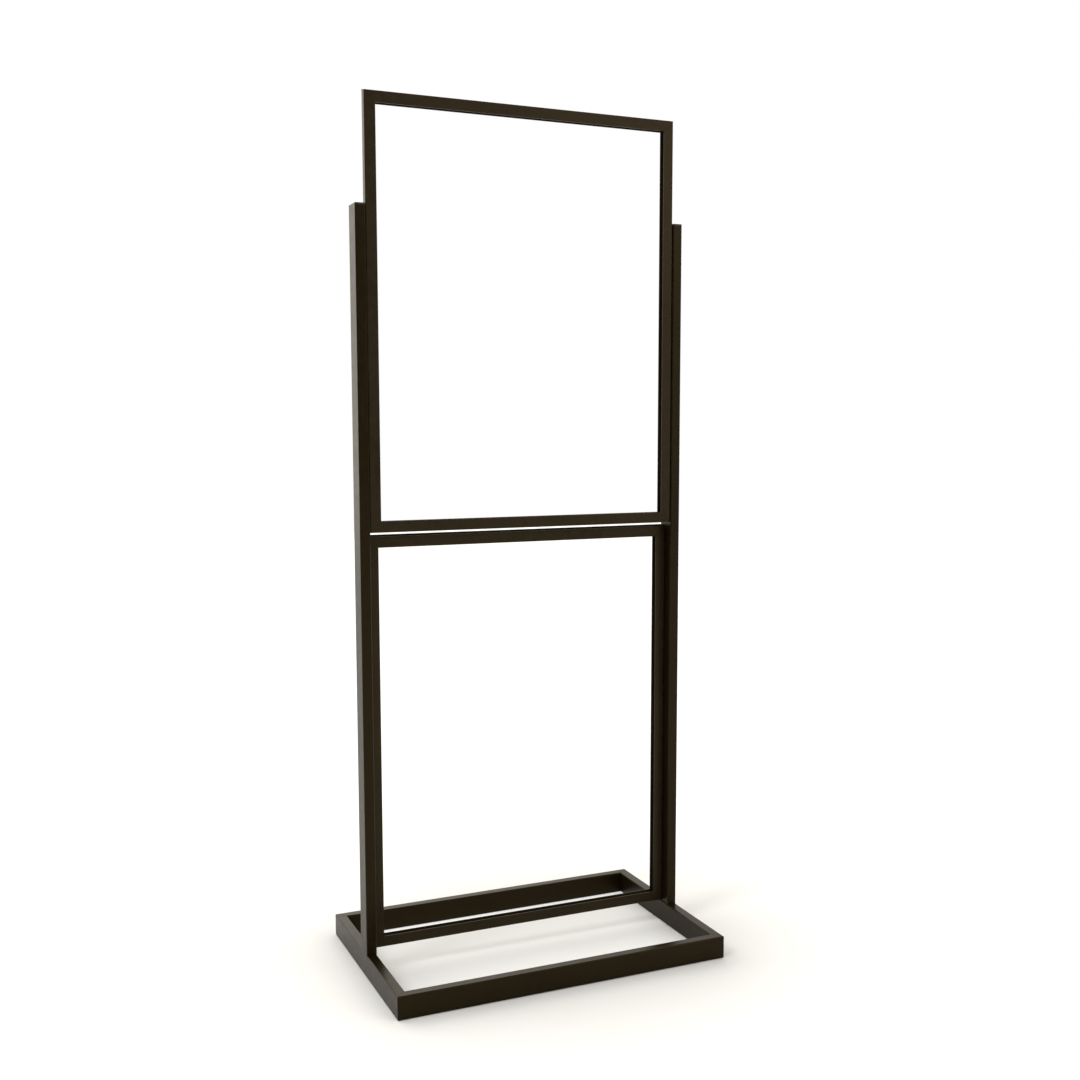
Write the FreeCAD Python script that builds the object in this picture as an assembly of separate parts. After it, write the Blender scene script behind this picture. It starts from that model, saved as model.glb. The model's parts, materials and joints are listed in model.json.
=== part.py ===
import FreeCAD, Part
import math
import os

# Two-tier sign stand: a flat rectangular loop of mitred tube, two tube posts welded on top of it,
# and two open frames screwed between the posts. Each frame is a channel that takes a 22 x 28 in
# card from above. The frames stand one in front of the other, so both cards can slide in.
# Each frame's rear top strip is a little higher than its front one, to guide the card's edge in.
#
# X runs across the stand, -Y is the front and +Z is up. The origin is on the floor, under the
# centre of the base. All sizes are in millimetres.

# Overall sizes
base_width = 609.6
base_depth = 384.0
upper_frame_top = 1492.0
post_height = 1312.0
lower_frame_top = 764.0

# Rectangular tube. The base rails and the posts are equally narrow, and the rails are taller
# on edge than the posts are deep.
tube_narrow = 18.0
tube_wide = 38.0
rail_height = 40.0
tube_wall = 1.5
tube_corner = 2.0

# Sign frames, formed from sheet
frame_height = 720.0
frame_face = 19.0
frame_depth = 14.5
frame_inset = 2.5
sheet_thickness = 1.2
bend_radius = 1.8
hem_height = 7.0
rear_strip_rise = 2.5

# Seam left at every mitred corner, and the small rounding of the ground outer corners
seam_width = 0.4
seam_depth = 0.4
ground_corner = 1.0

# End caps of the posts
cap_plate = 3.0
cap_edge = 0.8
cap_skirt = 12.0
cap_skirt_wall = 1.5
push_fit = 0.15

# Welds that join the posts to the side rails: ground flush outside, left as a bead inside
weld_length = 32.0
weld_bead_radius = 4.0
weld_bead_rise = 1.6
weld_feather = 0.3

# Floor glides, pushed into the underside of the side rails
glide_diameter = 16.0
glide_height = 0.8
glide_edge = 0.3
glide_stem_diameter = 6.0
glide_stem_length = 7.0
glide_from_corner = 30.0

# Frame screws and the threaded inserts set in the inner walls of the posts
screw_diameter = 3.5
screw_length = 10.0
screw_head_diameter = 7.0
screw_head_height = 2.4
screw_head_dome = 1.2
driver_slot_length = 4.2
driver_slot_width = 0.9
driver_slot_depth = 1.3
insert_barrel_diameter = 6.0
insert_barrel_length = 9.0
insert_flange_diameter = 9.0
insert_flange = 0.5
insert_bulge_diameter = 8.0
insert_bulge_length = 3.0
hole_clearance = 0.1
screw_from_frame_end = 76.0
upper_screw_below_post_top = 82.0

# Closer together than this counts as the same place
touching = 1e-6

# Worked out from the sizes above
upper_frame_bottom = upper_frame_top - frame_height
lower_frame_bottom = lower_frame_top - frame_height
base_top = glide_height + rail_height
post_tube_top = post_height - cap_plate
frame_width = base_width - 2 * tube_narrow - 2 * insert_flange
post_centre_x = base_width / 2 - tube_narrow / 2
upper_frame_y = -tube_wide / 2 + frame_inset + frame_depth / 2
lower_frame_y = -upper_frame_y
upper_screw_heights = [
    upper_frame_bottom + screw_from_frame_end,
    post_height - upper_screw_below_post_top,
]
lower_screw_heights = [
    lower_frame_bottom + screw_from_frame_end,
    lower_frame_top - screw_from_frame_end,
]

X_AXIS = FreeCAD.Vector(1, 0, 0)
Y_AXIS = FreeCAD.Vector(0, 1, 0)
Z_AXIS = FreeCAD.Vector(0, 0, 1)
ORIGIN = FreeCAD.Vector(0, 0, 0)


def vector(x, y, z):
    return FreeCAD.Vector(x, y, z)


def moved(shape, x, y, z):
    """A copy of the shape, shifted."""
    copy = shape.copy()
    copy.translate(vector(x, y, z))
    return copy


def turned(shape, axis, degrees):
    """A copy of the shape, turned about an axis through the origin."""
    copy = shape.copy()
    copy.rotate(ORIGIN, axis, degrees)
    return copy


def upright_edges(shape, keep=None):
    """Edges of the shape that run along Z, or those of them that keep() accepts."""
    found = []
    for edge in shape.Edges:
        start = edge.Vertexes[0].Point
        end = edge.Vertexes[-1].Point
        along_z = abs(start.x - end.x) < touching and abs(start.y - end.y) < touching
        if along_z and (keep is None or keep(start)):
            found.append(edge)
    return found


def rounded_bar(size_x, size_y, length, radius):
    """Solid bar along Z from the origin, centred in X and Y, with rounded long edges."""
    bar = Part.makeBox(size_x, size_y, length, vector(-size_x / 2, -size_y / 2, 0))
    return bar.makeFillet(radius, upright_edges(bar))


def tube(size_x, size_y, length, skin=0.0):
    """Tube along Z. A skin is taken off its outside, and its bore stays the same."""
    outside = rounded_bar(size_x - 2 * skin, size_y - 2 * skin, length, tube_corner - skin)
    bore = rounded_bar(size_x - 2 * tube_wall, size_y - 2 * tube_wall, length, tube_corner - tube_wall)
    return outside.cut(bore)


def channel(length, skin=0.0):
    """U-shaped channel along Z. Its web is on the YZ plane and its mouth faces +X."""
    outside = Part.makeBox(frame_face - skin, frame_depth - 2 * skin, length,
                           vector(skin, skin - frame_depth / 2, 0))
    bends = upright_edges(outside, lambda point: point.x < frame_face / 2)
    outside = outside.makeFillet(bend_radius - skin, bends)
    groove_depth = frame_depth - 2 * sheet_thickness
    groove = Part.makeBox(frame_face, groove_depth, length,
                          vector(sheet_thickness, -groove_depth / 2, 0))
    corners = upright_edges(groove, lambda point: point.x < frame_face / 2)
    groove = groove.makeFillet(bend_radius - sheet_thickness, corners)
    return outside.cut(groove)


def hemmed_strip(length, skin=0.0, rise=0.0):
    """Flat strip along Z with one long edge folded back on itself.

    Its plain face is on the plane Y = 0, and the folded edge lies on +Y. Its fold is at X = 0, or
    beyond it on -X where the strip is given a rise.
    """
    fold = sheet_thickness - rise
    hem_end = hem_height - rise
    corner_points = [
        vector(fold, skin, 0),
        vector(frame_face, skin, 0),
        vector(frame_face, sheet_thickness, 0),
        vector(hem_end, sheet_thickness, 0),
        vector(hem_end, 2 * sheet_thickness, 0),
        vector(fold, 2 * sheet_thickness, 0),
    ]
    edges = []
    for start, end in zip(corner_points, corner_points[1:]):
        edges.append(Part.LineSegment(start, end).toShape())
    top_of_fold = vector(skin - rise, sheet_thickness, 0)
    edges.append(Part.Arc(corner_points[-1], top_of_fold, corner_points[0]).toShape())
    outline = Part.Face(Part.Wire(edges))
    return outline.extrude(vector(0, 0, length))


def mitre_block(length, width, thickness, inset=0.0, rise=0.0):
    """Block along X whose ends are cut at 45 degrees from Y = 0 to its width.

    Where it is given a rise, it also reaches that far out on -Y, with ends cut square.
    """
    shift = inset * math.sqrt(2)
    half = length / 2 - shift
    points = [
        vector(half, 0, 0),
        vector(half - width, width, 0),
        vector(-half + width, width, 0),
        vector(-half, 0, 0),
    ]
    if rise > 0:
        points = points + [vector(-half, -rise, 0), vector(half, -rise, 0)]
    outline = Part.makePolygon(points + points[:1])
    return moved(Part.Face(outline).extrude(vector(0, 0, thickness)), 0, 0, -thickness / 2)


def mitred(member, core, length, width, thickness, rise=0.0):
    """Cut a member to length with mitred ends and leave a fine seam around each end.

    The member and its core lie along X with their long side at Y = 0. The core is the same
    member with its outside taken down by the depth of the seam, and it reaches the mitre.
    """
    face = member.common(mitre_block(length, width, thickness, seam_width / 2, rise))
    end = core.common(mitre_block(length, width, thickness))
    return face.fuse(end).removeSplitter()


def hole(diameter, length, x, y, z, axis=Z_AXIS):
    """Cylinder for a hole or a shank, starting at a point and running along an axis."""
    return Part.makeCylinder(diameter / 2, length, vector(x, y, z), axis)


# ---------------------------------------------------------------------------
# Base
# ---------------------------------------------------------------------------

def base_rail(length):
    """Tube rail on edge, along X, with its outer side at Y = 0 and mitred ends."""
    pieces = []
    for skin in (0.0, seam_depth):
        rail = tube(rail_height, tube_narrow, length, skin)
        rail = turned(rail, Y_AXIS, 90)
        pieces.append(moved(rail, -length / 2, tube_narrow / 2, 0))
    return mitred(pieces[0], pieces[1], length, tube_narrow, rail_height)


def base_corner_rounding():
    """Upright block as large as the base, with slightly rounded corners."""
    return rounded_bar(base_width, base_depth, base_top, ground_corner)


def placed_base_rail(length, distance_out, degrees):
    """Base rail turned about the stand and moved out from its centre."""
    rail = moved(base_rail(length), 0, -distance_out, glide_height + rail_height / 2)
    rail = turned(rail, Z_AXIS, degrees)
    return rail.common(base_corner_rounding())


def glide_positions():
    """Names and centres of the four floor glides."""
    positions = {}
    for side_name, side in (("left", -1), ("right", 1)):
        for end_name, end in (("front", -1), ("back", 1)):
            y = end * (base_depth / 2 - glide_from_corner)
            positions[end_name + "_" + side_name + "_glide"] = (side * post_centre_x, y)
    return positions


def side_rail(side):
    """Left or right base rail, drilled for its two glides. The side is -1 for left, 1 for right."""
    rail = placed_base_rail(base_depth, base_width / 2, 90 * side)
    for x, y in glide_positions().values():
        if x * side > 0:
            stem_hole = glide_stem_diameter + hole_clearance
            rail = rail.cut(hole(stem_hole, 2 * tube_wall, x, y, glide_height - tube_wall / 2))
    return rail


def floor_glide(x, y):
    """Thin round glide with a push-in stem."""
    pad = hole(glide_diameter, glide_height, 0, 0, 0)
    lower_rim = [edge for edge in pad.Edges if edge.BoundBox.ZMax < touching]
    pad = pad.makeChamfer(glide_edge, lower_rim)
    stem = hole(glide_stem_diameter, glide_stem_length, 0, 0, glide_height)
    tip_height = glide_height + glide_stem_length
    tip = [edge for edge in stem.Edges if edge.BoundBox.ZMin > tip_height - touching]
    stem = stem.makeChamfer(glide_edge, tip)
    return moved(pad.fuse(stem).removeSplitter(), x, y, 0)


# ---------------------------------------------------------------------------
# Posts
# ---------------------------------------------------------------------------

def frame_fixings(side):
    """Points on the inner face of one post where the frames are screwed to it."""
    inner_face = side * (base_width / 2 - tube_narrow)
    upper = [(inner_face, upper_frame_y, height) for height in upper_screw_heights]
    lower = [(inner_face, lower_frame_y, height) for height in lower_screw_heights]
    return upper, lower


def post(side):
    """Tube post on top of a side rail, drilled for the threaded inserts of both frames."""
    length = post_tube_top - base_top
    shape = moved(tube(tube_narrow, tube_wide, length), side * post_centre_x, 0, base_top)
    upper, lower = frame_fixings(side)
    for x, y, z in upper + lower:
        drill = hole(insert_barrel_diameter + hole_clearance, 2 * tube_wall, 0, 0, -tube_wall / 2, X_AXIS)
        drill = moved(drill, x - tube_wall, y, z + tube_wall / 2)
        shape = shape.cut(drill)
    return shape


def post_cap(side):
    """Moulded cap with a hollow skirt that pushes into the top of a post."""
    plate = rounded_bar(tube_narrow, tube_wide, cap_plate, tube_corner)
    top_rim = [edge for edge in plate.Edges if edge.BoundBox.ZMin > cap_plate - touching]
    plate = plate.makeFillet(cap_edge, top_rim)
    skirt_x = tube_narrow - 2 * tube_wall - 2 * push_fit
    skirt_y = tube_wide - 2 * tube_wall - 2 * push_fit
    skirt = rounded_bar(skirt_x, skirt_y, cap_skirt, tube_corner - tube_wall)
    hollow = Part.makeBox(skirt_x - 2 * cap_skirt_wall, skirt_y - 2 * cap_skirt_wall, cap_skirt)
    hollow = moved(hollow, cap_skirt_wall - skirt_x / 2, cap_skirt_wall - skirt_y / 2, 0)
    skirt = moved(skirt.cut(hollow), 0, 0, -cap_skirt)
    return moved(plate.fuse(skirt).removeSplitter(), side * post_centre_x, 0, post_tube_top)


def post_welds(side):
    """The outer and the inner weld at the foot of a post, above the rounded edges of its rail.

    They are drawn for a post at X = 0 with its outer side towards +X. The outer weld is flush with
    the tubes, and the inner one stands proud of them as a bead.
    """
    rail_body = turned(rounded_bar(tube_narrow, rail_height, base_depth, tube_corner), X_AXIS, 90)
    rail_body = moved(rail_body, 0, base_depth / 2, base_top - rail_height / 2)
    post_body = moved(rounded_bar(tube_narrow, tube_wide, tube_wide, tube_corner), 0, 0, base_top)
    tubes = rail_body.fuse(post_body)

    reach = tube_corner - weld_feather
    corner = vector(tube_narrow / 2 - reach, -weld_length / 2, base_top - reach)
    outer = Part.makeBox(reach, weld_length, reach, corner).cut(tubes)

    bead_x = weld_bead_radius - weld_bead_rise - tube_narrow / 2
    straight = weld_length / 2 - weld_bead_radius
    bead = hole(2 * weld_bead_radius, 2 * straight, bead_x, -straight, base_top, Y_AXIS)
    ends = [Part.makeSphere(weld_bead_radius, vector(bead_x, y, base_top)) for y in (-straight, straight)]
    inner = bead.fuse(ends).removeSplitter().cut(tubes)

    welds = []
    for weld in (outer.Solids[0], inner.Solids[0]):
        if side < 0:
            weld = weld.mirror(ORIGIN, X_AXIS)
        welds.append(moved(weld, side * post_centre_x, 0, 0))
    return welds


# ---------------------------------------------------------------------------
# Sign frames
# ---------------------------------------------------------------------------

def frame_member(section, length, rise=0.0):
    """Frame member along X with mitred ends, its outer side at Y = 0 and its depth along Z.

    The section is channel or hemmed_strip, both drawn along Z with their outer side at X = 0.
    Only a hemmed strip can have a rise.
    """
    pieces = []
    for skin in (0.0, seam_depth):
        member = section(length, skin, rise) if rise > 0 else section(length, skin)
        member = turned(member, Y_AXIS, 90)
        member = turned(member, X_AXIS, 90)
        pieces.append(moved(member, -length / 2, 0, 0))
    return mitred(pieces[0], pieces[1], length, frame_face, 2 * frame_depth, rise)


def frame_corner_rounding(rise=0.0):
    """Block as large as one frame, in the XZ plane, with slightly rounded corners."""
    block = rounded_bar(frame_width, frame_height + 2 * rise, 2 * frame_depth, ground_corner)
    block = moved(block, 0, 0, -frame_depth)
    return turned(block, X_AXIS, 90)


def frame_parts(centre_y, bottom, side_screw_heights):
    """The five members of one frame, keyed by the end of their node names."""
    members = {}
    half_height = frame_height / 2
    half_width = frame_width / 2

    def stand_up(member, distance_out, degrees, rise=0.0):
        """Turn a member from the XY plane into the frame's plane, then around the frame."""
        shape = moved(member, 0, -distance_out, 0)
        shape = turned(shape, X_AXIS, 90)
        shape = turned(shape, Y_AXIS, degrees)
        shape = shape.common(frame_corner_rounding(rise))
        return moved(shape, 0, centre_y, bottom + half_height)

    members["bottom_rail"] = stand_up(frame_member(channel, frame_width), half_height, 0)
    stile = frame_member(channel, frame_height)
    for side_name, side, degrees in (("left", -1, 90), ("right", 1, -90)):
        shape = stand_up(stile, half_width, degrees)
        for height in side_screw_heights:
            clearance = screw_diameter + 2 * hole_clearance
            drill = hole(clearance, 4 * sheet_thickness, -2 * sheet_thickness, 0, 0, X_AXIS)
            shape = shape.cut(moved(drill, side * half_width, centre_y, height))
        members[side_name + "_stile"] = shape
    for strip_name, rise in (("top_front_strip", 0.0), ("top_rear_strip", rear_strip_rise)):
        strip = frame_member(hemmed_strip, frame_width, rise)
        members[strip_name] = stand_up(moved(strip, 0, 0, -frame_depth / 2), half_height, 180, rise)
    front_strip = members["top_front_strip"]
    members["top_front_strip"] = front_strip.mirror(vector(0, centre_y, 0), Y_AXIS)
    return members


def frame_screw(side, y, z):
    """Pan-head screw through the web of a stile into its threaded insert."""
    head = hole(screw_head_diameter, screw_head_height, 0, 0, 0)
    rim = [edge for edge in head.Edges if edge.BoundBox.ZMin > screw_head_height - touching]
    head = head.makeFillet(screw_head_dome, rim)
    for degrees in (0, 90):
        slot = Part.makeBox(driver_slot_length, driver_slot_width, driver_slot_depth)
        slot = moved(slot, -driver_slot_length / 2, -driver_slot_width / 2,
                     screw_head_height - driver_slot_depth)
        head = head.cut(turned(slot, Z_AXIS, degrees))
    shank = hole(screw_diameter, screw_length, 0, 0, -screw_length)
    screw = turned(head.fuse(shank).removeSplitter(), Y_AXIS, -90 * side)
    seat = side * (frame_width / 2 - sheet_thickness)
    return moved(screw, seat, y, z)


def threaded_insert(side, y, z):
    """Insert set in the inner wall of a post: flange outside the wall, bulge behind it."""
    flange = hole(insert_flange_diameter, insert_flange, 0, 0, -insert_flange)
    barrel = hole(insert_barrel_diameter, insert_barrel_length, 0, 0, 0)
    bulge = hole(insert_bulge_diameter, insert_bulge_length, 0, 0, tube_wall)
    body = flange.fuse([barrel, bulge]).removeSplitter()
    thread = hole(screw_diameter, insert_barrel_length + insert_flange, 0, 0, -insert_flange)
    body = turned(body.cut(thread), Y_AXIS, 90 * side)
    return moved(body, side * (base_width / 2 - tube_narrow), y, z)


# ---------------------------------------------------------------------------
# Assembly
# ---------------------------------------------------------------------------

def build_nodes():
    """Every node of the stand, as a name and a list of separate solids."""
    nodes = {}
    nodes["base_front_rail"] = [placed_base_rail(base_width, base_depth / 2, 0)]
    nodes["base_back_rail"] = [placed_base_rail(base_width, base_depth / 2, 180)]
    for name, (x, y) in glide_positions().items():
        nodes[name] = [floor_glide(x, y)]

    upper_screws = []
    lower_screws = []
    upper_inserts = []
    lower_inserts = []
    for side_name, side in (("left", -1), ("right", 1)):
        nodes["base_" + side_name + "_rail"] = [side_rail(side)]
        nodes[side_name + "_post"] = [post(side)]
        nodes[side_name + "_post_cap"] = [post_cap(side)]
        outer_weld, inner_weld = post_welds(side)
        nodes[side_name + "_post_outer_weld"] = [outer_weld]
        nodes[side_name + "_post_inner_weld"] = [inner_weld]
        for z in upper_screw_heights:
            upper_screws.append(frame_screw(side, upper_frame_y, z))
            upper_inserts.append(threaded_insert(side, upper_frame_y, z))
        for z in lower_screw_heights:
            lower_screws.append(frame_screw(side, lower_frame_y, z))
            lower_inserts.append(threaded_insert(side, lower_frame_y, z))
    nodes["upper_frame_screws"] = upper_screws
    nodes["lower_frame_screws"] = lower_screws
    nodes["upper_frame_inserts"] = upper_inserts
    nodes["lower_frame_inserts"] = lower_inserts

    frames = (
        ("upper_frame_", upper_frame_y, upper_frame_bottom, upper_screw_heights),
        ("lower_frame_", lower_frame_y, lower_frame_bottom, lower_screw_heights),
    )
    for prefix, centre_y, bottom, heights in frames:
        for name, shape in frame_parts(centre_y, bottom, heights).items():
            nodes[prefix + name] = [shape]
    return nodes


def write_nodes(nodes):
    """One STEP file per node, and a line that says what it holds."""
    os.makedirs("parts", exist_ok=True)
    for name, solids in sorted(nodes.items()):
        shape = solids[0] if len(solids) == 1 else Part.makeCompound(solids)
        shape.exportStep("parts/" + name + ".step")
        box = shape.BoundBox
        print(name, len(shape.Solids), "solids, valid:", shape.isValid(),
              "X %.1f %.1f" % (box.XMin, box.XMax),
              "Y %.1f %.1f" % (box.YMin, box.YMax),
              "Z %.1f %.1f" % (box.ZMin, box.ZMax))


write_nodes(build_nodes())
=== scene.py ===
import json
import math

import bmesh
import bpy
from mathutils import Matrix, Vector


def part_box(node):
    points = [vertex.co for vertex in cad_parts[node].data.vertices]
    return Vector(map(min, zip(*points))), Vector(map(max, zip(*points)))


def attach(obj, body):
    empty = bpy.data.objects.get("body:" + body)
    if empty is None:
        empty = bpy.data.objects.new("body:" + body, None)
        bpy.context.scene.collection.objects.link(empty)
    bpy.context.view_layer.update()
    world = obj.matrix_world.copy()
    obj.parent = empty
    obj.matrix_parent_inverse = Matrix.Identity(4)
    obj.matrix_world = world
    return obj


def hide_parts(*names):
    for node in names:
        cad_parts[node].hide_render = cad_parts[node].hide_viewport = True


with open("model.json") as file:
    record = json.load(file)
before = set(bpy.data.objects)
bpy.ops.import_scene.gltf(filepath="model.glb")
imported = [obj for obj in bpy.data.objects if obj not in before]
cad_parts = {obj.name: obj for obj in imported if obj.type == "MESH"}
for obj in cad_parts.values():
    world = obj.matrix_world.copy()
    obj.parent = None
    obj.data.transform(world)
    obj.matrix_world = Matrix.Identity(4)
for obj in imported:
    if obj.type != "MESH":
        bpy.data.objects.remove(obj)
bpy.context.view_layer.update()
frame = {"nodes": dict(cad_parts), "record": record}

MM = 0.001
WHITE = (1.0, 1.0, 1.0, 1.0)


# ---------------------------------------------------------------------------
# Camera: in front of the stand, to its left, a little above its middle
# ---------------------------------------------------------------------------

CAMERA_PLACE = (-0.88927, -2.08135, 0.95207)
CAMERA_RIGHT = (0.9170229, -0.3988272, -0.0024071)
CAMERA_DOWN = (-0.0433688, -0.0937146, -0.9946541)
CAMERA_FORWARD = (0.3964695, 0.9122250, -0.1032351)
CAMERA_LENS = 42.685519
CAMERA_SENSOR = 36.0
CAMERA_SHIFT = (0.0073912, 0.0162060)
CAMERA_RANGE = (0.05, 100.0)


def make_camera():
    data = bpy.data.cameras.new("front_left_camera")
    data.sensor_width = CAMERA_SENSOR
    data.lens = CAMERA_LENS
    data.shift_x, data.shift_y = CAMERA_SHIFT
    data.clip_start, data.clip_end = CAMERA_RANGE
    camera = bpy.data.objects.new("front_left_camera", data)
    bpy.context.scene.collection.objects.link(camera)
    axes = (Vector(CAMERA_RIGHT), -Vector(CAMERA_DOWN), -Vector(CAMERA_FORWARD))
    turn = Matrix(axes).transposed().to_4x4()
    camera.matrix_world = Matrix.Translation(CAMERA_PLACE) @ turn
    bpy.context.scene.camera = camera


# ---------------------------------------------------------------------------
# Materials
# ---------------------------------------------------------------------------

# Sockets of the Mix node when it blends colours
MIX_COLOURS_IN = (6, 7)
MIX_COLOUR_OUT = 2

# Largest part of a normal, and normal against bevelled normal: where edge wear and the
# painted edge highlight start and are full
ROUNDING_RANGE = (0.99, 0.80)
SHARP_EDGE_RANGE = (0.995, 0.75)
BEVEL_SAMPLES = 6

# Usual ranges of noise that are spread over a whole effect
NOISE_MIDDLE = (0.35, 0.65)
NOISE_WIDE = (0.3, 0.7)


class Nodes:
    """A material's node tree, with one short call per kind of node."""

    def __init__(self, name):
        self.material = bpy.data.materials.new(name)
        self.material.use_nodes = True
        self.tree = self.material.node_tree
        self.tree.nodes.clear()
        output = self.tree.nodes.new("ShaderNodeOutputMaterial")
        self.shader = self.tree.nodes.new("ShaderNodeBsdfPrincipled")
        self.tree.links.new(self.shader.outputs["BSDF"], output.inputs["Surface"])
        self.place = self.tree.nodes.new("ShaderNodeTexCoord").outputs["Object"]
        self.normal = self.tree.nodes.new("ShaderNodeNewGeometry").outputs["Normal"]

    def give(self, socket, value):
        """Link a socket to an output, or set it to a plain value."""
        if isinstance(value, bpy.types.NodeSocket):
            self.tree.links.new(value, socket)
        else:
            socket.default_value = value

    def set(self, name, value):
        """Give one of the shader's own sockets a value."""
        self.give(self.shader.inputs[name], value)

    def math(self, operation, first, second=0.0):
        node = self.tree.nodes.new("ShaderNodeMath")
        node.operation = operation
        self.give(node.inputs[0], first)
        self.give(node.inputs[1], second)
        return node.outputs[0]

    def vector_math(self, operation, first, second):
        node = self.tree.nodes.new("ShaderNodeVectorMath")
        node.operation = operation
        self.give(node.inputs[0], first)
        self.give(node.inputs[1], second)
        return node

    def parts(self, vector):
        """The x, y and z outputs of a vector."""
        node = self.tree.nodes.new("ShaderNodeSeparateXYZ")
        self.give(node.inputs[0], vector)
        return tuple(node.outputs)

    def stretched(self, factors):
        """The place on the object, multiplied along each axis."""
        return self.vector_math("MULTIPLY", self.place, factors).outputs[0]

    def noise(self, size, detail=2.0, roughness=0.5, place=None):
        """Noise from 0 to 1 with features of about the given size in metres."""
        node = self.tree.nodes.new("ShaderNodeTexNoise")
        self.give(node.inputs["Vector"], place or self.place)
        node.inputs["Scale"].default_value = 1.0 / size
        node.inputs["Detail"].default_value = detail
        node.inputs["Roughness"].default_value = roughness
        return node.outputs["Fac"]

    def spread(self, value, low, high, new_low=0.0, new_high=1.0):
        """Map a range onto another one, clamped."""
        node = self.tree.nodes.new("ShaderNodeMapRange")
        numbers = (value, low, high, new_low, new_high)
        for socket, number in zip(node.inputs, numbers):
            self.give(socket, number)
        return node.outputs[0]

    def mix(self, share, first, second):
        """Blend of two colours."""
        node = self.tree.nodes.new("ShaderNodeMix")
        node.data_type = "RGBA"
        self.give(node.inputs[0], share)
        for index, colour in zip(MIX_COLOURS_IN, (first, second)):
            if not isinstance(colour, bpy.types.NodeSocket):
                colour = (*colour, 1.0)
            self.give(node.inputs[index], colour)
        return node.outputs[MIX_COLOUR_OUT]

    def bump(self, height, depth, under=None):
        """Surface relief of the given depth in metres."""
        node = self.tree.nodes.new("ShaderNodeBump")
        node.inputs["Strength"].default_value = 1.0
        node.inputs["Distance"].default_value = depth
        self.give(node.inputs["Height"], height)
        if under is not None:
            self.give(node.inputs["Normal"], under)
        return node.outputs["Normal"]

    def roundings(self):
        """1 on rounded corners and 0 on faces square to the stand's axes."""
        x, y, z = [self.math("ABSOLUTE", part) for part in self.parts(self.normal)]
        largest = self.math("MAXIMUM", self.math("MAXIMUM", x, y), z)
        return self.spread(largest, *ROUNDING_RANGE)

    def sharp_edges(self, radius):
        """1 on sharp edges, falling to 0 at the given distance from them."""
        bevel = self.tree.nodes.new("ShaderNodeBevel")
        bevel.samples = BEVEL_SAMPLES
        bevel.inputs["Radius"].default_value = radius
        match = self.vector_math("DOT_PRODUCT", bevel.outputs["Normal"], self.normal)
        return self.spread(match.outputs["Value"], *SHARP_EDGE_RANGE)


def scaled(colour, factor):
    return tuple(factor * part for part in colour)


# Powder coat: dark and light tone, sizes and strengths of its patterns, edge wear with a
# painted edge highlight, and relief
TUBE_TONES = ((0.0052, 0.0031, 0.0009), (0.0072, 0.0044, 0.0015))
FRAME_TONES = ((0.0125, 0.0089, 0.0049), (0.0170, 0.0123, 0.0072))
CLOUD_SIZE = 160.0 * MM
MOTTLE_SIZE = 12.0 * MM
MOTTLE_RANGE = (0.4, 0.75)
MOTTLE_SHARE = 0.35
MOTTLE_GAIN = 1.5
SPECK_SIZE = 0.6 * MM
SPECK_RANGE = (0.62, 0.74)
SPECK_SHARE = 0.25
SPECK_GAIN = 2.0
SPECK_DEPTH = 0.005 * MM
SPECK_ROUGHNESS = 0.02
RUB_AND_HIGHLIGHT_REACH = 0.9 * MM
RUB_AND_HIGHLIGHT_PATCH_SIZE = 35.0 * MM
RUB_AND_HIGHLIGHT_PATCH_RANGE = (0.44, 0.62)
RUB_AND_HIGHLIGHT_SHARE = 0.45
RUB_AND_HIGHLIGHT_GAIN = 3.5
RUB_POLISH = 0.10
COAT_ROUGHNESS = (0.29, 0.36)
COAT_SPECULAR = 0.15
COAT_TINT = (1.0, 0.80, 0.45, 1.0)
PEEL_SIZE = 1.6 * MM
PEEL_DEPTH = 0.020 * MM
LINE_SIZE = 0.9 * MM
LINE_SQUEEZE = 0.02
LINE_DEPTH = 0.012 * MM
X_AXIS = 0
Z_AXIS = 2


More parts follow.
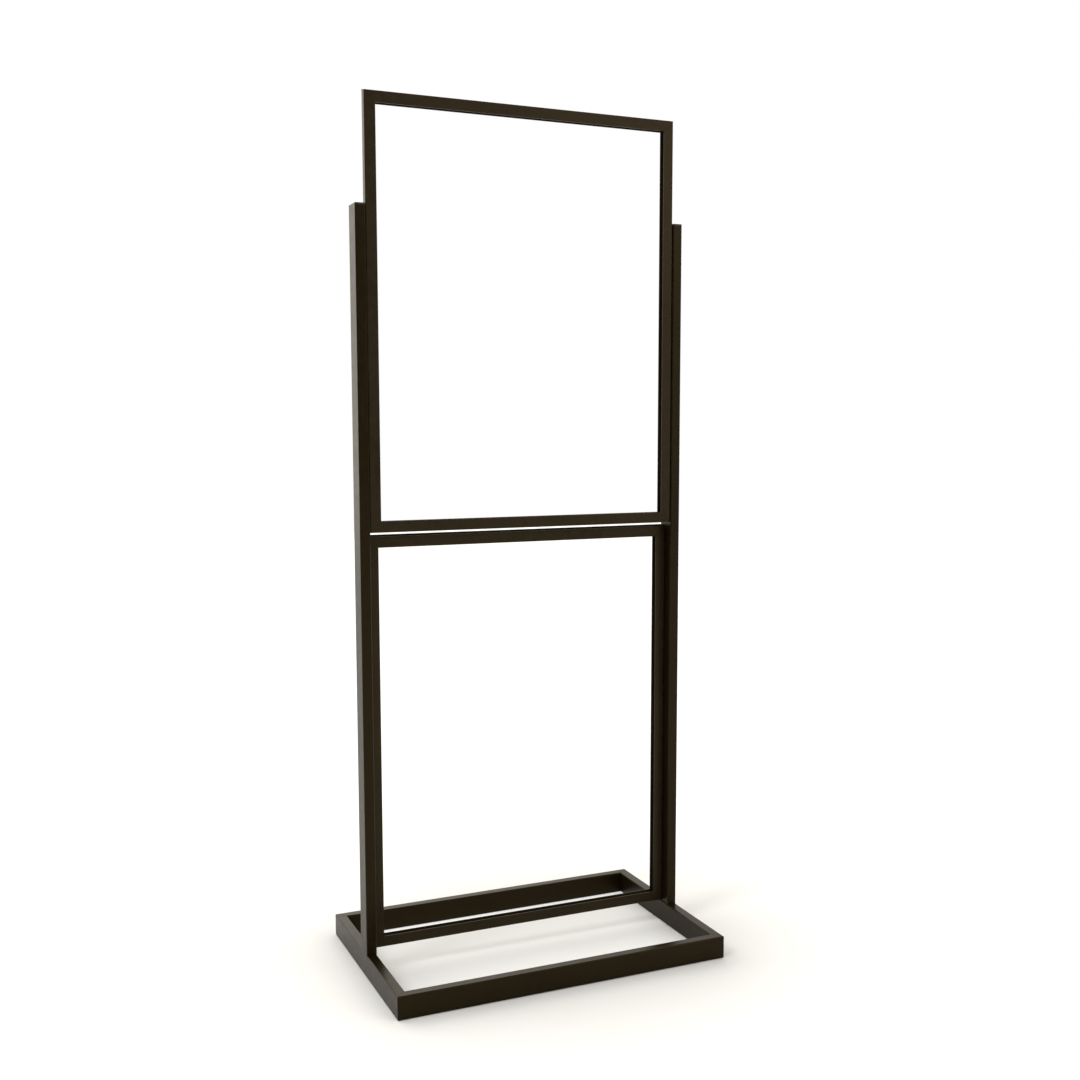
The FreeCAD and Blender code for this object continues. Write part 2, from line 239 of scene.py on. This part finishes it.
def powder_coat(name, dark, light, along=None):
    """Satin powder coat: orange peel, cloudy tone, edges rubbed a little brighter, partly as
    wear and partly as a painted highlight.

    With along set to an axis, fine forming lines of the sheet under the coat run that way.
    """
    n = Nodes(name)
    cloud = n.noise(CLOUD_SIZE, detail=3.0, roughness=0.55)
    mottle = n.noise(MOTTLE_SIZE, detail=3.0, roughness=0.6)
    speck = n.noise(SPECK_SIZE, detail=2.0, roughness=0.6)
    patches = n.noise(RUB_AND_HIGHLIGHT_PATCH_SIZE, detail=4.0, roughness=0.65)

    tone = n.mix(n.spread(cloud, *NOISE_MIDDLE), dark, light)
    mottled = n.spread(mottle, *MOTTLE_RANGE, 0.0, MOTTLE_SHARE)
    tone = n.mix(mottled, tone, scaled(light, MOTTLE_GAIN))
    specked = n.spread(speck, *SPECK_RANGE, 0.0, SPECK_SHARE)
    tone = n.mix(specked, tone, scaled(light, SPECK_GAIN))
    # Lighter colour on rounded and sharp edges: partly rubbed wear, partly a painted edge
    # highlight.
    rub_and_highlight = n.math("MAXIMUM", n.roundings(), n.sharp_edges(RUB_AND_HIGHLIGHT_REACH))
    rub_and_highlight = n.math("MULTIPLY", rub_and_highlight, n.spread(patches, *RUB_AND_HIGHLIGHT_PATCH_RANGE))
    tone = n.mix(n.math("MULTIPLY", rub_and_highlight, RUB_AND_HIGHLIGHT_SHARE), tone, scaled(light, RUB_AND_HIGHLIGHT_GAIN))
    n.set("Base Color", tone)

    satin = n.spread(mottle, *NOISE_WIDE, *COAT_ROUGHNESS)
    satin = n.math("SUBTRACT", satin, n.math("MULTIPLY", rub_and_highlight, RUB_POLISH))
    grit = n.spread(speck, *NOISE_WIDE, -SPECK_ROUGHNESS, SPECK_ROUGHNESS)
    n.set("Roughness", n.math("ADD", satin, grit))
    n.set("Specular IOR Level", COAT_SPECULAR)
    n.set("Specular Tint", COAT_TINT)

    relief = n.bump(n.noise(PEEL_SIZE, roughness=0.45), PEEL_DEPTH)
    if along is not None:
        squeeze = [1.0, 1.0, 1.0]
        squeeze[along] = LINE_SQUEEZE
        lines = n.noise(LINE_SIZE, place=n.stretched(squeeze))
        relief = n.bump(lines, LINE_DEPTH, relief)
    n.set("Normal", n.bump(speck, SPECK_DEPTH, relief))
    return n.material


# Moulded plastic of the post caps and glides
CAP_TONES = ((0.0080, 0.0056, 0.0032), (0.0110, 0.0078, 0.0048))
CAP_ROUGHNESS = 0.42
GLIDE_TONES = ((0.008, 0.008, 0.008), (0.014, 0.014, 0.014))
GLIDE_ROUGHNESS = 0.55
PLASTIC_CLOUD_SIZE = 20.0 * MM
GRAIN_SIZE = 0.35 * MM
GRAIN_DEPTH = 0.008 * MM
GRAIN_ROUGHNESS = 0.05
SCUFF_SIZE = 6.0 * MM
SCUFF_RANGE = (0.45, 0.65)
SCUFF_SHARE = 0.4
SCUFF_GAIN = 2.2
PLASTIC_SPECULAR = 0.4


def moulded_plastic(name, dark, light, satin):
    """Dark moulded plastic with a fine sparked texture, scuffed on its roundings."""
    n = Nodes(name)
    cloud = n.noise(PLASTIC_CLOUD_SIZE)
    grain = n.noise(GRAIN_SIZE, detail=3.0, roughness=0.6)
    patches = n.noise(SCUFF_SIZE, detail=3.0, roughness=0.6)
    tone = n.mix(n.spread(cloud, *NOISE_MIDDLE), dark, light)
    scuff = n.spread(patches, *SCUFF_RANGE, 0.0, SCUFF_SHARE)
    scuff = n.math("MULTIPLY", n.roundings(), scuff)
    n.set("Base Color", n.mix(scuff, tone, scaled(light, SCUFF_GAIN)))
    roughness = (satin - GRAIN_ROUGHNESS, satin + GRAIN_ROUGHNESS)
    n.set("Roughness", n.spread(grain, *NOISE_WIDE, *roughness))
    n.set("Specular IOR Level", PLASTIC_SPECULAR)
    n.set("Normal", n.bump(grain, GRAIN_DEPTH))
    return n.material


ZINC_TONES = ((0.60, 0.59, 0.55), (0.66, 0.68, 0.72))
ZINC_TINT_SIZE = 4.0 * MM
ZINC_ROUGHNESS = (0.28, 0.42)
TURNING_SIZE = 0.30 * MM
TURNING_DEPTH = 0.006 * MM
TURNING_SQUEEZE = (6.0, 1.0, 1.0)


def bright_zinc():
    """Zinc-plated steel with fine turning marks and a faint yellow-blue tint."""
    n = Nodes("bright_zinc_plate")
    tint = n.noise(ZINC_TINT_SIZE, detail=3.0, roughness=0.6)
    n.set("Base Color", n.mix(n.spread(tint, *NOISE_MIDDLE), *ZINC_TONES))
    n.set("Metallic", 1.0)
    marks = n.noise(TURNING_SIZE, place=n.stretched(TURNING_SQUEEZE))
    n.set("Roughness", n.spread(marks, *NOISE_WIDE, *ZINC_ROUGHNESS))
    n.set("Normal", n.bump(marks, TURNING_DEPTH))
    return n.material


SCREW_TONE = (0.020, 0.020, 0.022)
SCREW_WORN_TONE = (0.16, 0.155, 0.15)
SCREW_WEAR_SIZE = 0.8 * MM
SCREW_WEAR_RANGE = (0.45, 0.65)
SCREW_WEAR_REACH = 0.35 * MM
SCREW_WEAR_LEAST = 0.12
SCREW_METALLIC = 0.8
SCREW_BLOTCH_SIZE = 0.5 * MM
SCREW_ROUGHNESS = (0.34, 0.50)
SCREW_GRAIN_SIZE = 0.25 * MM
SCREW_GRAIN_DEPTH = 0.004 * MM


def black_screw():
    """Black-oxide screw steel, worn to grey on its edges."""
    n = Nodes("black_oxide_steel")
    patches = n.noise(SCREW_WEAR_SIZE, detail=3.0, roughness=0.6)
    edges = n.math("MAXIMUM", n.sharp_edges(SCREW_WEAR_REACH), SCREW_WEAR_LEAST)
    worn = n.math("MULTIPLY", n.spread(patches, *SCREW_WEAR_RANGE), edges)
    n.set("Base Color", n.mix(worn, SCREW_TONE, SCREW_WORN_TONE))
    n.set("Metallic", SCREW_METALLIC)
    blotches = n.noise(SCREW_BLOTCH_SIZE, detail=3.0, roughness=0.6)
    n.set("Roughness", n.spread(blotches, *NOISE_WIDE, *SCREW_ROUGHNESS))
    n.set("Normal", n.bump(n.noise(SCREW_GRAIN_SIZE), SCREW_GRAIN_DEPTH))
    return n.material


def finish_nodes():
    """Give every CAD node the material of its slot, and return the coat of the tubes."""
    tube_coat = powder_coat("dark_bronze_tube_coat", *TUBE_TONES)
    upright_coat = powder_coat("dark_bronze_upright_coat", *FRAME_TONES, along=Z_AXIS)
    level_coat = powder_coat("dark_bronze_level_coat", *FRAME_TONES, along=X_AXIS)
    by_slot = {
        "powder_coat": tube_coat,
        "cap_plastic": moulded_plastic("cap_plastic", *CAP_TONES, CAP_ROUGHNESS),
        "glide_plastic": moulded_plastic("glide_plastic", *GLIDE_TONES, GLIDE_ROUGHNESS),
        "zinc_steel": bright_zinc(),
        "black_screw_steel": black_screw(),
    }
    for entry in frame["record"]["subparts"]:
        name = entry["node"]
        if entry["material_slot"] == "frame_coat":
            material = upright_coat if name.endswith("stile") else level_coat
        else:
            material = by_slot[entry["material_slot"]]
        node = frame["nodes"][name]
        node.data.materials.clear()
        node.data.materials.append(material)
    return tube_coat


# ---------------------------------------------------------------------------
# Weld beads
# ---------------------------------------------------------------------------

BEAD_RADIUS = 4.0 * MM
BEAD_STRAIGHT = 12.0 * MM
BEAD_FILL = 0.998
RIPPLE_PITCH = 1.7 * MM
RIPPLE_HEIGHT = 0.22 * MM
RIPPLE_BOW = 0.9
RIPPLE_SHARPNESS = 1.6
BEAD_RINGS = 161
BEAD_ARC_STEPS = 20
BEAD_ARC = math.radians(62.0)


def weld_bead(side_name, side, material):
    """Rippled bead at the inner foot of a post, in place of the plain CAD one."""
    node = side_name + "_post_inner_weld"
    low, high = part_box(node)
    face_x = high.x if side < 0 else low.x
    axis_x = face_x + side * BEAD_RADIUS
    centre_y = (low.y + high.y) / 2
    axis_z = (low.z + high.z) / 2
    end = (high.y - low.y) / 2
    shape = bmesh.new()
    rings = []
    for i in range(BEAD_RINGS):
        along = end * (2 * i / (BEAD_RINGS - 1) - 1) * BEAD_FILL
        beyond = max(abs(along) - BEAD_STRAIGHT, 0.0) / BEAD_RADIUS
        size = math.sqrt(max(1.0 - beyond * beyond, 0.0))
        ring = []
        for j in range(BEAD_ARC_STEPS + 1):
            turn = BEAD_ARC * (2 * j / BEAD_ARC_STEPS - 1)
            crescent = along / RIPPLE_PITCH - RIPPLE_BOW * (turn / BEAD_ARC) ** 2
            wave = crescent - math.floor(crescent)
            ripple = RIPPLE_HEIGHT * (wave ** RIPPLE_SHARPNESS - 1.0) * size
            radius = BEAD_RADIUS * size + ripple
            x = axis_x - side * radius * math.cos(turn)
            z = axis_z + radius * math.sin(turn)
            ring.append(shape.verts.new((x, centre_y + along, z)))
        rings.append(ring)
    for first, second in zip(rings, rings[1:]):
        for j in range(BEAD_ARC_STEPS + 1):
            k = (j + 1) % (BEAD_ARC_STEPS + 1)
            shape.faces.new((first[j], first[k], second[k], second[j]))
    shape.faces.new(rings[0])
    shape.faces.new(tuple(reversed(rings[-1])))
    bmesh.ops.recalc_face_normals(shape, faces=shape.faces)
    for face in shape.faces:
        face.smooth = len(face.verts) == 4
    mesh = bpy.data.meshes.new(side_name + "_post_weld_bead")
    shape.to_mesh(mesh)
    shape.free()
    bead = bpy.data.objects.new(side_name + "_post_weld_bead", mesh)
    bpy.context.scene.collection.objects.link(bead)
    bead.data.materials.append(material)
    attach(bead, "root")
    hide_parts(node)


# ---------------------------------------------------------------------------
# Floor: white far from the stand, greyer around it with painted shade, and given a painted
# glow inside the base
# ---------------------------------------------------------------------------

FLOOR_HALF_SIZE = 9.0
FLOOR_CELLS = 8
FLOOR_PAINTED_SHADE = (0.675, 0.685, 0.700)
FLOOR_FAR = (0.86, 0.875, 0.90)
PAINTED_SHADE_CENTRE = (0.05, -0.01, 0.0)
PAINTED_SHADE_FADE = (0.26, 0.56)
PAINTED_SHADE_STRETCH = (0.8, 1.0, 1.0)
FLOOR_ROUGHNESS = 0.9
FLOOR_SPECULAR = 0.1
LOOP_HALF_WIDTH = 0.295
LOOP_HALF_DEPTH = 0.182
BACK_PAINTED_GLOW = 0.45
BACK_PAINTED_GLOW_RANGE = (0.13, 0.165)
FRONT_PAINTED_GLOW = 0.12
FRONT_PAINTED_GLOW_RANGE = (-0.03, -0.17)


def painted_floor_glow(n):
    """Painted glow of the floor inside the base, brightening its shade: strongest in front
    of the back rail.
    """
    across, deep = n.parts(n.place)[:2]
    in_width = n.math("LESS_THAN", n.math("ABSOLUTE", across), LOOP_HALF_WIDTH)
    in_depth = n.math("LESS_THAN", n.math("ABSOLUTE", deep), LOOP_HALF_DEPTH)
    back = n.spread(deep, *BACK_PAINTED_GLOW_RANGE, 0.0, BACK_PAINTED_GLOW)
    front = n.spread(deep, *FRONT_PAINTED_GLOW_RANGE, 0.0, FRONT_PAINTED_GLOW)
    inside = n.math("MULTIPLY", in_width, in_depth)
    return n.math("MULTIPLY", inside, n.math("ADD", back, front))


def make_floor():
    shape = bmesh.new()
    bmesh.ops.create_grid(
        shape, x_segments=FLOOR_CELLS, y_segments=FLOOR_CELLS, size=FLOOR_HALF_SIZE)
    mesh = bpy.data.meshes.new("studio_floor")
    shape.to_mesh(mesh)
    shape.free()
    floor = bpy.data.objects.new("studio_floor", mesh)
    bpy.context.scene.collection.objects.link(floor)
    n = Nodes("studio_floor_painted_shade_and_glow")
    # Painted shade: the floor's colour is greyer near the stand, standing in for the shade
    # around its base.
    distance = n.vector_math("DISTANCE", n.stretched(PAINTED_SHADE_STRETCH), PAINTED_SHADE_CENTRE)
    out_of_painted_shade = n.spread(distance.outputs["Value"], *PAINTED_SHADE_FADE)
    n.set("Base Color", n.mix(out_of_painted_shade, FLOOR_PAINTED_SHADE, FLOOR_FAR))
    # Painted glow: the floor emits light inside the base, where it lies in shade.
    n.set("Emission Color", WHITE)
    n.set("Emission Strength", painted_floor_glow(n))
    n.set("Roughness", FLOOR_ROUGHNESS)
    n.set("Specular IOR Level", FLOOR_SPECULAR)
    floor.data.materials.append(n.material)


# ---------------------------------------------------------------------------
# Light: soft glows above, behind and at the front right, and a soft key light
# ---------------------------------------------------------------------------

# Each glow: direction, cosines of the angles where it starts and is full, strength
ABOVE_GLOW = ((0.0, 0.0, 1.0), 0.0, 0.9, 1.05)
BEHIND_GLOW = ((-0.34, 0.92, 0.20), 0.35, 0.98, 1.85)
FRONT_GLOW = ((0.66, -0.70, 0.32), 0.91, 0.995, 3.2)
WORLD_BASE = 0.12
WORLD_TINT = (1.0, 0.955, 0.87, 1.0)


def make_world():
    """Three soft glows on a dim base. The camera itself sees plain white."""
    world = bpy.data.worlds.new("studio")
    bpy.context.scene.world = world
    world.use_nodes = True
    tree = world.node_tree
    tree.nodes.clear()
    output = tree.nodes.new("ShaderNodeOutputWorld")
    direction = tree.nodes.new("ShaderNodeTexCoord").outputs["Generated"]

    def glow(toward, start, full, strength):
        """Light that rises smoothly towards one direction."""
        dot = tree.nodes.new("ShaderNodeVectorMath")
        dot.operation = "DOT_PRODUCT"
        tree.links.new(direction, dot.inputs[0])
        dot.inputs[1].default_value = Vector(toward).normalized()
        ramp = tree.nodes.new("ShaderNodeMapRange")
        ramp.interpolation_type = "SMOOTHSTEP"
        tree.links.new(dot.outputs["Value"], ramp.inputs[0])
        for socket, number in zip(ramp.inputs[1:5], (start, full, 0.0, strength)):
            socket.default_value = number
        return ramp.outputs[0]

    total = None
    for settings in (ABOVE_GLOW, BEHIND_GLOW, FRONT_GLOW):
        add = tree.nodes.new("ShaderNodeMath")
        tree.links.new(glow(*settings), add.inputs[0])
        if total is None:
            add.inputs[1].default_value = WORLD_BASE
        else:
            tree.links.new(total, add.inputs[1])
        total = add.outputs[0]
    around = tree.nodes.new("ShaderNodeBackground")
    tree.links.new(total, around.inputs["Strength"])
    around.inputs["Color"].default_value = WORLD_TINT
    seen = tree.nodes.new("ShaderNodeBackground")
    seen.inputs["Color"].default_value = WHITE
    share = tree.nodes.new("ShaderNodeMixShader")
    path = tree.nodes.new("ShaderNodeLightPath")
    tree.links.new(path.outputs["Is Camera Ray"], share.inputs[0])
    tree.links.new(around.outputs[0], share.inputs[1])
    tree.links.new(seen.outputs[0], share.inputs[2])
    tree.links.new(share.outputs[0], output.inputs["Surface"])


SUN_TRAVEL = (0.635, 0.276, -0.720)
SUN_STRENGTH = 0.65
SUN_ANGLE = math.radians(16.0)


def make_sun():
    """Key light from the left and a little in front, 46 degrees up, with soft shadows."""
    data = bpy.data.lights.new("key_light", "SUN")
    data.energy = SUN_STRENGTH
    data.angle = SUN_ANGLE
    light = bpy.data.objects.new("key_light", data)
    light.rotation_mode = "QUATERNION"
    light.rotation_quaternion = Vector(SUN_TRAVEL).to_track_quat("-Z", "Y")
    bpy.context.scene.collection.objects.link(light)


make_camera()
tube_coat = finish_nodes()
weld_bead("left", -1, tube_coat)
weld_bead("right", 1, tube_coat)
make_floor()
make_world()
make_sun()
bpy.context.scene.view_settings.view_transform = "Standard"
